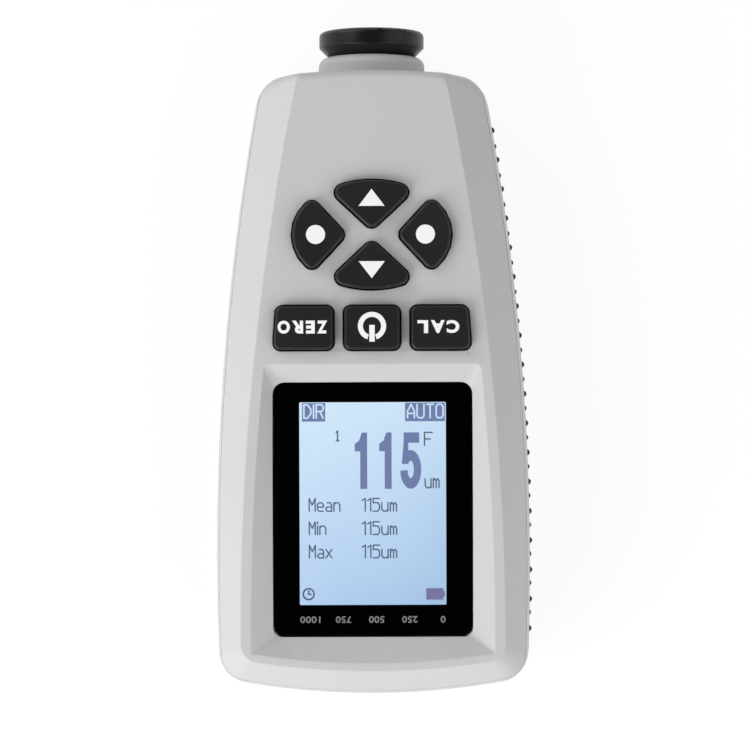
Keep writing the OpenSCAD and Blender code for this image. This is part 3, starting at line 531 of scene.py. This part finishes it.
def merge(pieces, name):
    """Joins shapes into the first of them, which gets the name."""
    bpy.ops.object.select_all(action="DESELECT")
    for piece in pieces:
        piece.select_set(True)
    bpy.context.view_layer.objects.active = pieces[0]
    bpy.ops.object.join()
    pieces[0].name = name
    return pieces[0]


def on_view(across, down):
    """A place on the panel, in millimetres from the upper left corner of the view."""
    return view_low.x + across * MM, view_high.y - down * MM


def arc(centre, radius_x, radius_y, start, end, steps):
    """Points along part of an ellipse, in degrees."""
    angles = [math.radians(start + (end - start) * i / steps) for i in range(steps + 1)]
    return [(centre[0] + radius_x * math.cos(a), centre[1] + radius_y * math.sin(a)) for a in angles]


def disc(centre, radius, steps):
    """The outline of a whole circle."""
    return arc(centre, radius, radius, 0, 360, steps)[:-1]


def field(left, right, top, bottom):
    """A filled rectangle on the panel, by its four sides in millimetres on the view."""
    x0, y0 = on_view(left, bottom)
    x1, y1 = on_view(right, top)
    plate = flat_shape("field", [[(x0, y0), (x1, y0), (x1, y1), (x0, y1)]], segment_t)
    put(plate, 0, 0, panel_high.z + ink_level * segment_t)
    return plate


# Strokes of the display's letters on a grid 4 wide and 6 high: each pair of digits is a
# column and a row, and a bar lifts the pen.
LETTERS = {
    "M": "00 06 23 46 40", "e": "02 42 43 34 14 03 01 10 40", "a": "14 34 43 40 10 01 12 42",
    "n": "00 04 | 03 14 34 43 40", "i": "00 04 | 05 06", "x": "00 44 | 04 40",
    "1": "05 26 20", "l": "05 16 10 | 00 20", "5": "46 06 04 34 43 41 30 00",
    "u": "04 01 10 30 41 | 44 40", "m": "00 04 | 03 14 23 20 | 23 34 43 40",
    "F": "00 06 46 | 03 33", "D": "00 06 26 44 42 20 00", "I": "00 06",
    "R": "00 06 36 45 44 33 03 | 23 40", "A": "00 03 26 43 40 | 02 42",
    "U": "06 01 10 30 41 46", "T": "06 46 | 26 20", "O": "10 01 05 16 36 45 41 30 10",
}
letter_rows = 6
letter_gap = 1.55
pen_lead = 0.35


def written(word, left, top, tall, column, pen, level=ink_level):
    """A word in the display's letters, as flat strokes. Its sizes are in millimetres."""
    row = tall / letter_rows
    curve = bpy.data.curves.new("word", "CURVE")
    curve.dimensions = "3D"
    curve.bevel_depth = pen / 2 * MM
    curve.bevel_resolution = 2
    curve.use_fill_caps = True
    pen_x = left
    for letter in word:
        strokes = [[(int(p[0]), int(p[1])) for p in s.split()] for s in LETTERS[letter].split("|")]
        for stroke in strokes:
            places = [on_view(pen_x + col * column, top + tall - up * row) for col, up in stroke]
            for start, end in zip(places, places[1:]):
                lead = pen_lead * pen * MM / math.dist(start, end)
                ahead = [(b - a) * lead for a, b in zip(start, end)]
                spline = curve.splines.new("POLY")
                spline.points.add(1)
                spline.points[0].co = (start[0] - ahead[0], start[1] - ahead[1], 0, 1)
                spline.points[1].co = (end[0] + ahead[0], end[1] + ahead[1], 0, 1)
        pen_x += (max(col for stroke in strokes for col, up in stroke) + letter_gap) * column
    piece = bpy.data.objects.new("word", curve)
    bpy.context.scene.collection.objects.link(piece)
    select_only(piece)
    bpy.ops.object.convert(target="MESH")
    piece = bpy.context.active_object
    piece.scale.z = segment_t / (pen * MM)
    put(piece, 0, 0, panel_high.z + level * segment_t + segment_t / 2)
    return piece


# Two headings on their fields, and the small words. A word has its left edge and top on the
# view, its height, the width of one column of the letters' grid, and the pen.
figures = [field(0.42, 4.37, 0.14, 3.28), field(17.9, 24.65, 0.14, 3.28)]
small_tall = 2.15
small_pen = 0.235
thin_pen = 0.25
header_top = 0.42
header_tall = 2.28
header_pen = 0.27
headings = [written("DIR", 0.75, header_top, header_tall, 0.295, header_pen, heading_level),
            written("AUTO", 18.34, header_top, header_tall, 0.2915, header_pen, heading_level)]
words = [written("l", 6.22, 4.88, 1.66, 0.23, thin_pen),
         written("F", 21.2, 5.18, 2.2, 0.33, thin_pen),
         written("um", 21.29, 12.26, 2.3, 0.247, small_pen)]
for word, top in (("Mean", 16.35), ("Min", 20.31), ("Max", 24.27)):
    words.append(written(word, 1.6, top, small_tall, 0.252, small_pen))
    words.append(written("115um", 10.58, top, small_tall, 0.263, small_pen))

# The large figures are solid shapes: a one with a stepped flag, and a five made of a bar,
# a stem and part of a broad ring. Each has its left edge on the view.
figure_foot = 14.73
figure_tall = 9.57
one = [(2.11, figure_tall), (2.11, 0), (0.93, 0), (0.93, 6.37), (0, 6.37),
       (0, 7.63), (0.79, 8.25), (1.0, 8.96), (1.21, figure_tall)]
five_bar = [(0.6, figure_tall), (3.26, figure_tall), (3.26, 7.8), (0.6, 7.8)]
five_stem = [(0.6, 7.85), (1.4, 7.85), (1.4, 4.2), (0.28, 4.2)]
bowl_mid = (1.79, 3.29)
bowl_out = (1.79, 3.29)
bowl_in = (0.53, 1.47)
bowl_start = 184
bowl_end = 500
bowl_steps = 40
five_bowl = (arc(bowl_mid, *bowl_out, bowl_start, bowl_end, bowl_steps)
             + arc(bowl_mid, *bowl_in, bowl_end, bowl_start, bowl_steps))
for outlines, left in (([one], 9.35), ([one], 13.5), ([five_bar, five_stem, five_bowl], 17.05)):
    for outline in outlines:
        x, y = on_view(left, figure_foot)
        figure = flat_shape("figure", [[(px * MM, py * MM) for px, py in outline]], segment_t)
        put(figure, x, y, panel_high.z + ink_level * segment_t)
        figures.append(figure)

# A clock at the lower left with two hands, and a full cell with its nub at the lower right.
clock = on_view(1.46, 32.55)
dial_out = 1.06 * MM
dial_in = 0.78 * MM
dial_steps = 32
dial = flat_shape("dial", [disc((0, 0), dial_out, dial_steps), disc((0, 0), dial_in, dial_steps)],
                  segment_t)
put(dial, clock[0], clock[1], panel_high.z + ink_level * segment_t)
words += [dial, field(1.34, 1.6, 31.9, 32.7), field(1.34, 2.0, 32.48, 32.72)]
cell_sign = [field(21.4, 24.3, 31.6, 33.55), field(24.3, 24.56, 32.1, 33.05)]
for pieces, name, ink in ((figures, "readout_figures", figure_ink),
                          (words, "readout_words", word_ink),
                          (cell_sign, "readout_cell", cell_ink),
                          (headings, "readout_headings", heading_ink)):
    readout = merge(pieces, name)
    finish_with(readout, ink)
    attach(readout, "case")


# Keypad: a silicone mat on the board and seven rubber keys that stand through the front.
# The key tops have soft edges and printed white legends, whose words are the right way up
# when the probe points down.
mat_tone = (0.06, 0.06, 0.06, 1)
mat_tone_dark = (0.045, 0.045, 0.045, 1)
key_tone = (0.0125, 0.0125, 0.013, 1)
key_tone_dark = (0.01, 0.01, 0.0105, 1)
print_tone = (0.95, 0.95, 0.95, 1)
print_tone_dark = (0.9, 0.9, 0.9, 1)
dress("keypad_mat", moulded("mat rubber", mat_tone, mat_tone_dark,
                            rough=0.55, grain_size=0.3 * MM, depth=0.008 * MM))
key_rubber = moulded("key rubber", key_tone, key_tone_dark,
                     rough=0.45, grain_size=0.18 * MM, depth=0.006 * MM)
key_rubber.node_tree.nodes["Principled BSDF"].inputs["Specular IOR Level"].default_value = 0.35
white_print = moulded("white print", print_tone, print_tone_dark,
                      rough=0.45, grain_size=0.1 * MM, depth=0.002 * MM)
key_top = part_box("key_up")[1].z
cap_edge_r = 0.16 * MM
cap_band = 0.4 * MM
top_drop = 0.02 * MM
for key in ("up", "down", "left", "right", "zero", "power", "cal"):
    cap = skin_copy("key_" + key, key + "_key_cap")
    round_edges(cap, cap_edge_r, segments=3, chosen=lambda p: p.z > key_top - cap_band,
                sharper_than=30)
    for vertex in cap.data.vertices:
        if vertex.co.z > key_top - top_drop / 2:
            vertex.co.z = key_top - top_drop
    smooth(cap, angle=55)
    stand_for(cap, "key_" + key, key_rubber)


def printed(piece, name, body):
    """A white legend on a key: it moves with the key's body."""
    piece.name = name
    finish_with(piece, white_print)
    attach(piece, body)


letter_spread = 4


def lettering(word, wide, tall, x, y, z, bold, thick):
    """A word in plain sans letters at a set size, the right way up when the probe points down."""
    bpy.ops.object.select_all(action="DESELECT")
    bpy.ops.object.text_add()
    text = bpy.context.active_object
    text.data.body = word
    text.data.align_x = "CENTER"
    text.data.offset = bold
    text.data.space_character = 1 + letter_spread * bold
    text.data.resolution_u = 6
    text.data.extrude = 0.5
    bpy.ops.object.convert(target="MESH")
    piece = bpy.context.active_object
    corners = [v.co for v in piece.data.vertices]
    low = [min(c[i] for c in corners) for i in range(3)]
    high = [max(c[i] for c in corners) for i in range(3)]
    put(piece, *[-(low[i] + high[i]) / 2 for i in range(3)])
    piece.scale = [size / (high[i] - low[i]) for i, size in enumerate((wide, tall, thick))]
    piece.rotation_euler.z = math.pi
    put(piece, x, y, z + thick / 2)
    return piece


def middle_of(node):
    low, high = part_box(node)
    return (low + high) / 2


# Two arrows and two spots: each has its distance from the middle of the pad.
print_t = 0.04 * MM
print_z = key_top - print_t
pad = (middle_of("key_up") + middle_of("key_down")) / 2
arrow_half = 2.2 * MM
arrow_tall = 2.87 * MM
for key, way, out in (("up", 1, 4.75 * MM), ("down", -1, 4.5 * MM)):
    foot = pad.y + way * out
    tip = foot + way * arrow_tall
    arrow = flat_shape("arrow", [[(-arrow_half, foot), (arrow_half, foot), (0, tip)]], print_t)
    put(arrow, 0, 0, print_z)
    printed(arrow, key + "_arrow", key + "_key")
spot_r = 1.6 * MM
round_steps = 48
for key, x in (("left", -9.4 * MM), ("right", 9.0 * MM)):
    spot = flat_shape("spot", [disc((x, pad.y), spot_r, round_steps)], print_t)
    put(spot, 0, 0, print_z)
    printed(spot, key + "_spot", key + "_key")

# Two words, set letter by letter: each letter has its width and its place across the key,
# in millimetres.
legend_tall = 2.17 * MM
legend_up = 0.14 * MM
legend_bold = 0.05
legends = {
    "zero": (("Z", 1.69, 3.17), ("E", 1.51, 1.18), ("R", 1.88, -0.96), ("O", 2.08, -3.27)),
    "cal": (("C", 2.13, 2.05), ("A", 2.31, -0.49), ("L", 1.79, -3.01)),
}
for key, letters in legends.items():
    place = middle_of("key_" + key)
    word = []
    for letter, wide, off in letters:
        word.append(lettering(letter, wide * MM, legend_tall, place.x + off * MM, place.y + legend_up,
                              print_z, legend_bold, print_t))
    printed(merge(word, "word"), key + "_word", key + "_key")

# The power sign: an open ring with a bar through its gap.
ring_out = 2.37 * MM
ring_in = 1.52 * MM
ring_gap = 20
ring_start = ring_gap - 90
ring_end = 270 - ring_gap
ring_up = 0.28 * MM
bar_half = 0.46 * MM
bar_tall = 2.81 * MM
bar_up = 0.18 * MM
place = middle_of("key_power")
ring_mid = (place.x, place.y + ring_up)
ring = flat_shape("ring", [arc(ring_mid, ring_out, ring_out, ring_start, ring_end, round_steps)
                           + arc(ring_mid, ring_in, ring_in, ring_end, ring_start, round_steps)],
                  print_t)
put(ring, 0, 0, print_z)
bar_top = ring_mid[1] + bar_up
bar_foot = bar_top - bar_tall
bar = flat_shape("bar", [[(place.x - bar_half, bar_foot), (place.x + bar_half, bar_foot),
                          (place.x + bar_half, bar_top), (place.x - bar_half, bar_top)]], print_t)
put(bar, 0, 0, print_z)
printed(merge([ring, bar], "sign"), "power_sign", "power_key")


# Front shell: the upper half of the case, in the same grey plastic. Its flat front breaks
# at crisp edges into side and tail facets, with a fine line along their foot, and a sunk
# pocket with mitred lower corners frames the display.
front_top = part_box("front_shell")[1].z
lens_low, lens_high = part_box("display_lens")
front_shell = skin_copy("front_shell", "front_case", case_weld)
arc_slack = 0.06 * MM
end_slack = 0.03 * MM
level_slack = 0.02 * MM
least_out = 0.001 * MM


def mitre(piece, level, centre, radius, corner, lean):
    """Moves the points of a rounded corner straight out onto the two lines that meet in it."""
    for vertex in piece.data.vertices:
        out = abs(vertex.co.x) - centre[0]
        down = centre[1] - vertex.co.y
        on_arc = abs(math.hypot(out, down) - radius) < arc_slack and min(out, down) > -end_slack
        if on_arc and abs(vertex.co.z - level) < level_slack:
            to_side = (corner[0] - centre[0]) / max(out, least_out)
            to_tail = (centre[1] - corner[1] + lean * (corner[0] - centre[0])) / (down + lean * out)
            reach = min(to_side, to_tail)
            vertex.co.x = math.copysign(centre[0] + reach * out, vertex.co.x)
            vertex.co.y = centre[1] - reach * down


# The pocket's lower corners, at its mouth and at its foot: the middle and the radius of the
# rounded corner, the point it is drawn out to, and how far the tail edge leans there.
pocket_foot = 24.91 * MM
mouth_mid = (19.05 * MM, -47.97 * MM)
mouth_r = 1.48 * MM
mouth_corner = (20.53 * MM, -49.27 * MM)
mouth_lean = 0.137
foot_mid = (14.87 * MM, -44.59 * MM)
foot_r = 2 * MM
foot_corner = (16.871 * MM, -46.588 * MM)
foot_lean = 0
select_only(front_shell)
for face in front_shell.data.polygons:
    heights = [front_shell.data.vertices[i].co.z for i in face.vertices]
    face.select = max(abs(z - pocket_foot) for z in heights) < case_weld
bpy.ops.object.mode_set(mode="EDIT")
bpy.ops.mesh.select_mode(type="FACE")
bpy.ops.mesh.quads_convert_to_tris()
bpy.ops.object.mode_set(mode="OBJECT")
mitre(front_shell, front_top, mouth_mid, mouth_r, mouth_corner, mouth_lean)
mitre(front_shell, pocket_foot, foot_mid, foot_r, foot_corner, foot_lean)

# Edges to be rounded are told apart by where they lie: the key openings, the rim with the
# pocket's mouth, the foot of the facets, and the seam.
edge_band = 0.05 * MM
keys_from_lens = 4 * MM
keys_end = 34 * MM
keys_half = 17 * MM
rim_band = 0.3 * MM
facet_foot = 21.4 * MM
facet_side = 17 * MM
facet_tail = -53 * MM
seam_z = 14.4 * MM
seam_end = 45 * MM


def among_keys(p):
    return p.y > lens_high.y + keys_from_lens and abs(p.x) < keys_half


def on_opening(p):
    return p.z > front_top - edge_band and among_keys(p) and p.y < keys_end


def on_rim(p):
    return p.z > front_top - rim_band and not among_keys(p)


def on_facet_foot(p):
    return abs(p.z - facet_foot) < edge_band and (abs(p.x) > facet_side or p.y < facet_tail)


def on_seam(p):
    return abs(p.z - seam_z) < edge_band and p.y < seam_end


opening_edge_r = 0.12 * MM
rim_edge_r = 0.1 * MM
foot_line = 0.12 * MM
round_edges(front_shell, opening_edge_r, segments=2, chosen=on_opening, sharper_than=60)
round_edges(front_shell, rim_edge_r, segments=2, chosen=on_rim, sharper_than=20)
round_edges(front_shell, foot_line, segments=1, chosen=on_facet_foot, sharper_than=20)
bpy.ops.object.mode_set(mode="EDIT")
bpy.ops.mesh.inset(thickness=0, depth=-foot_line)
bpy.ops.object.mode_set(mode="OBJECT")
round_edges(front_shell, case_edge_r, segments=2, chosen=on_seam, sharper_than=60)
smooth(front_shell, angle=24)
stand_for(front_shell, "front_shell", case_plastic)


# Window: a clear acrylic lens with a coating that keeps its mirror image weak, stuck over a
# black frame, flush with the pocket's floor. A row of plain range figures is printed on its
# lower border.
frame_tone = (0.0026, 0.0024, 0.003, 1)
frame_tone_dark = (0.002, 0.0018, 0.0024, 1)
lens_tint = (0.98, 0.99, 1, 1)
lens_edge_r = 0.15 * MM
smear_size = 9 * MM
smear_rough = 0.03
dress("lens_frame", moulded("frame black", frame_tone, frame_tone_dark,
                            rough=0.6, grain_size=0.3 * MM, depth=0.002 * MM))


def clear_acrylic():
    """Clear plastic with faint smears in its polish."""
    material = bpy.data.materials.new("clear acrylic")
    material.use_nodes = True
    nodes, links = material.node_tree.nodes, material.node_tree.links
    shader = nodes["Principled BSDF"]
    shader.inputs["Base Color"].default_value = lens_tint
    shader.inputs["IOR"].default_value = 1.45
    shader.inputs["Transmission Weight"].default_value = 1
    shader.inputs["Specular IOR Level"].default_value = 0.2
    place = nodes.new("ShaderNodeTexCoord")
    smear = nodes.new("ShaderNodeTexNoise")
    smear.inputs["Scale"].default_value = 1 / smear_size
    smear.inputs["Detail"].default_value = 2
    gloss = nodes.new("ShaderNodeMapRange")
    gloss.inputs["To Min"].default_value = 0
    gloss.inputs["To Max"].default_value = smear_rough
    links.new(place.outputs["Object"], smear.inputs["Vector"])
    links.new(smear.outputs["Fac"], gloss.inputs["Value"])
    links.new(gloss.outputs["Result"], shader.inputs["Roughness"])
    return material


lens = skin_copy("display_lens", "clear_lens")
round_edges(lens, lens_edge_r, segments=2, sharper_than=60)
smooth(lens)
stand_for(lens, "display_lens", clear_acrylic())
range_tone = (0.22, 0.22, 0.23, 1)
range_tone_dark = (0.18, 0.18, 0.19, 1)
range_ink = moulded("range ink", range_tone, range_tone_dark,
                    rough=0.5, grain_size=0.1 * MM, depth=0.001 * MM)
range_up = 0.3 * MM
range_y = (lens_low.y + view_low.y) / 2 + range_up
range_start = -10.6
range_step = 5.6
range_tall = 1.15 * MM
range_t = 0.02 * MM
range_bold = 0.02
range_widths = {"1000": 3.4, "750": 2.6, "500": 2.6, "250": 2.6, "0": 0.85}
range_row = []
for i, (word, wide) in enumerate(range_widths.items()):
    x = (range_start + range_step * i) * MM
    range_row.append(lettering(word, wide * MM, range_tall, x, range_y, lens_high.z, range_bold, range_t))
range_row = merge(range_row, "range_figures")
finish_with(range_row, range_ink)
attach(range_row, "case")


# Probe: a turned black guard ring whose neck sits in the collar, and inside it a steel
# sleeve on a spring, with a hard tip on a core and a copper winding around it.
guard_tone = (0.008, 0.008, 0.0083, 1)
guard_tone_dark = (0.006, 0.006, 0.0063, 1)
guard_edge_r = 0.12 * MM
steel_tone = (0.6, 0.6, 0.62)
copper_tone = (0.62, 0.28, 0.12)
guard_black = moulded("guard black", guard_tone, guard_tone_dark,
                      rough=0.33, grain_size=0.35 * MM, depth=0.003 * MM)
guard_black.node_tree.nodes["Principled BSDF"].inputs["Specular IOR Level"].default_value = 0.3
guard = skin_copy("probe_guard", "guard_ring")
round_edges(guard, guard_edge_r, segments=3, sharper_than=40)
smooth(guard, angle=35)
stand_for(guard, "probe_guard", guard_black)
dress("probe_cap", guard_black)
turned_steel = metal("turned steel", steel_tone, rough=0.18, line_size=0.25 * MM, depth=0.002 * MM,
                     rings=True)
dress("probe_sleeve", turned_steel)
dress("probe_core", turned_steel)
dress("probe_winding", metal("copper winding", copper_tone,
                             rough=0.3, line_size=0.35 * MM, depth=0.03 * MM))
dress("probe_spring", spring_wire)


# Case screws: four zinc plated cross-head screws, sunk into the back. They pass through the
# rear shell into posts of the front shell and hold the halves together.
dress("case_screws", screw_steel)


# Floor, light and camera: a white sweep, broad soft light with the brightest side at the
# lower left, and a camera straight above the front, a little to the right.
floor_size = 6
floor_drop = 0.02 * MM
floor_tone = (0.6, 0.6, 0.6, 1)
white_share = 0.8


def floor_white():
    """Paper that keeps the shadow, and is mostly plain white to the camera and to mirrors."""
    material = bpy.data.materials.new("floor white")
    material.use_nodes = True
    nodes, links = material.node_tree.nodes, material.node_tree.links
    nodes.remove(nodes["Principled BSDF"])
    paper = nodes.new("ShaderNodeBsdfDiffuse")
    paper.inputs["Color"].default_value = floor_tone
    white = nodes.new("ShaderNodeEmission")
    white.inputs["Strength"].default_value = 1.12
    seen = nodes.new("ShaderNodeLightPath")
    direct = nodes.new("ShaderNodeMath")
    direct.operation = "MAXIMUM"
    mirrored = nodes.new("ShaderNodeMath")
    mirrored.operation = "MAXIMUM"
    share = nodes.new("ShaderNodeMath")
    share.operation = "MULTIPLY"
    share.inputs[1].default_value = white_share
    mix = nodes.new("ShaderNodeMixShader")
    links.new(seen.outputs["Is Camera Ray"], direct.inputs[0])
    links.new(seen.outputs["Is Glossy Ray"], direct.inputs[1])
    links.new(direct.outputs["Value"], mirrored.inputs[0])
    links.new(seen.outputs["Is Transmission Ray"], mirrored.inputs[1])
    links.new(mirrored.outputs["Value"], share.inputs[0])
    links.new(share.outputs["Value"], mix.inputs["Fac"])
    links.new(paper.outputs["BSDF"], mix.inputs[1])
    links.new(white.outputs["Emission"], mix.inputs[2])
    links.new(mix.outputs["Shader"], nodes["Material Output"].inputs["Surface"])
    return material


bpy.ops.object.select_all(action="DESELECT")
bpy.ops.mesh.primitive_plane_add(size=floor_size, location=(0, 0, -floor_drop))
floor = bpy.context.active_object
floor.name = "floor"
floor.data.materials.append(floor_white())

# The sky is bright near the horizon, dark overhead, and white to the camera.
world = bpy.data.worlds.new("studio")
bpy.context.scene.world = world
world.use_nodes = True
nodes, links = world.node_tree.nodes, world.node_tree.links
sky = nodes["Background"]
sky.inputs["Color"].default_value = (1, 1, 1, 1)
place = nodes.new("ShaderNodeTexCoord")
axes = nodes.new("ShaderNodeSeparateXYZ")
overhead = nodes.new("ShaderNodeMapRange")
overhead.inputs["From Min"].default_value = 0.4
overhead.inputs["From Max"].default_value = 0.55
overhead.inputs["To Min"].default_value = 0.68
overhead.inputs["To Max"].default_value = 0.02
seen = nodes.new("ShaderNodeLightPath")
level = nodes.new("ShaderNodeMix")
level.inputs["B"].default_value = 1
links.new(place.outputs["Generated"], axes.inputs["Vector"])
links.new(axes.outputs["Z"], overhead.inputs["Value"])
links.new(overhead.outputs["Result"], level.inputs["A"])
links.new(seen.outputs["Is Camera Ray"], level.inputs["Factor"])
links.new(level.outputs["Result"], sky.inputs["Strength"])

# Four square soft lights that face the object: the place of each in metres and its watts.
softbox_size = 0.5
softboxes = {
    "left tail light": ((-0.45, -0.4, 0.35), 4.1),
    "left nose light": ((-0.42, 0.4, 0.35), 2.0),
    "right tail light": ((0.4, -0.4, 0.4), 1.8),
    "right light": ((0.5, 0.1, 0.45), 0.75),
}
for name, (place, power) in softboxes.items():
    lamp = bpy.data.lights.new(name, "AREA")
    lamp.shape = "SQUARE"
    lamp.size = softbox_size
    lamp.energy = power
    holder = bpy.data.objects.new(name, lamp)
    bpy.context.scene.collection.objects.link(holder)
    holder.location = place
    holder.rotation_euler = (-holder.location).to_track_quat("-Z", "Y").to_euler()

camera_data = bpy.data.cameras.new("camera")
camera_data.lens = 133.6
camera_data.sensor_width = 36
camera_data.clip_start = 0.01
camera = bpy.data.objects.new("camera", camera_data)
bpy.context.scene.collection.objects.link(camera)
camera_up = 0.4944
camera_right = 0.003
aim_x = 0.0004
aim_y = -0.00242
aim_z = 0.0144
camera_roll = math.radians(-0.21)
camera.location = (camera_right, aim_y, camera_up)
camera.rotation_mode = "XYZ"
camera.rotation_euler = (0, math.atan2(camera_right - aim_x, camera_up - aim_z), camera_roll)
bpy.context.scene.camera = camera
bpy.context.scene.view_settings.view_transform = "Standard"
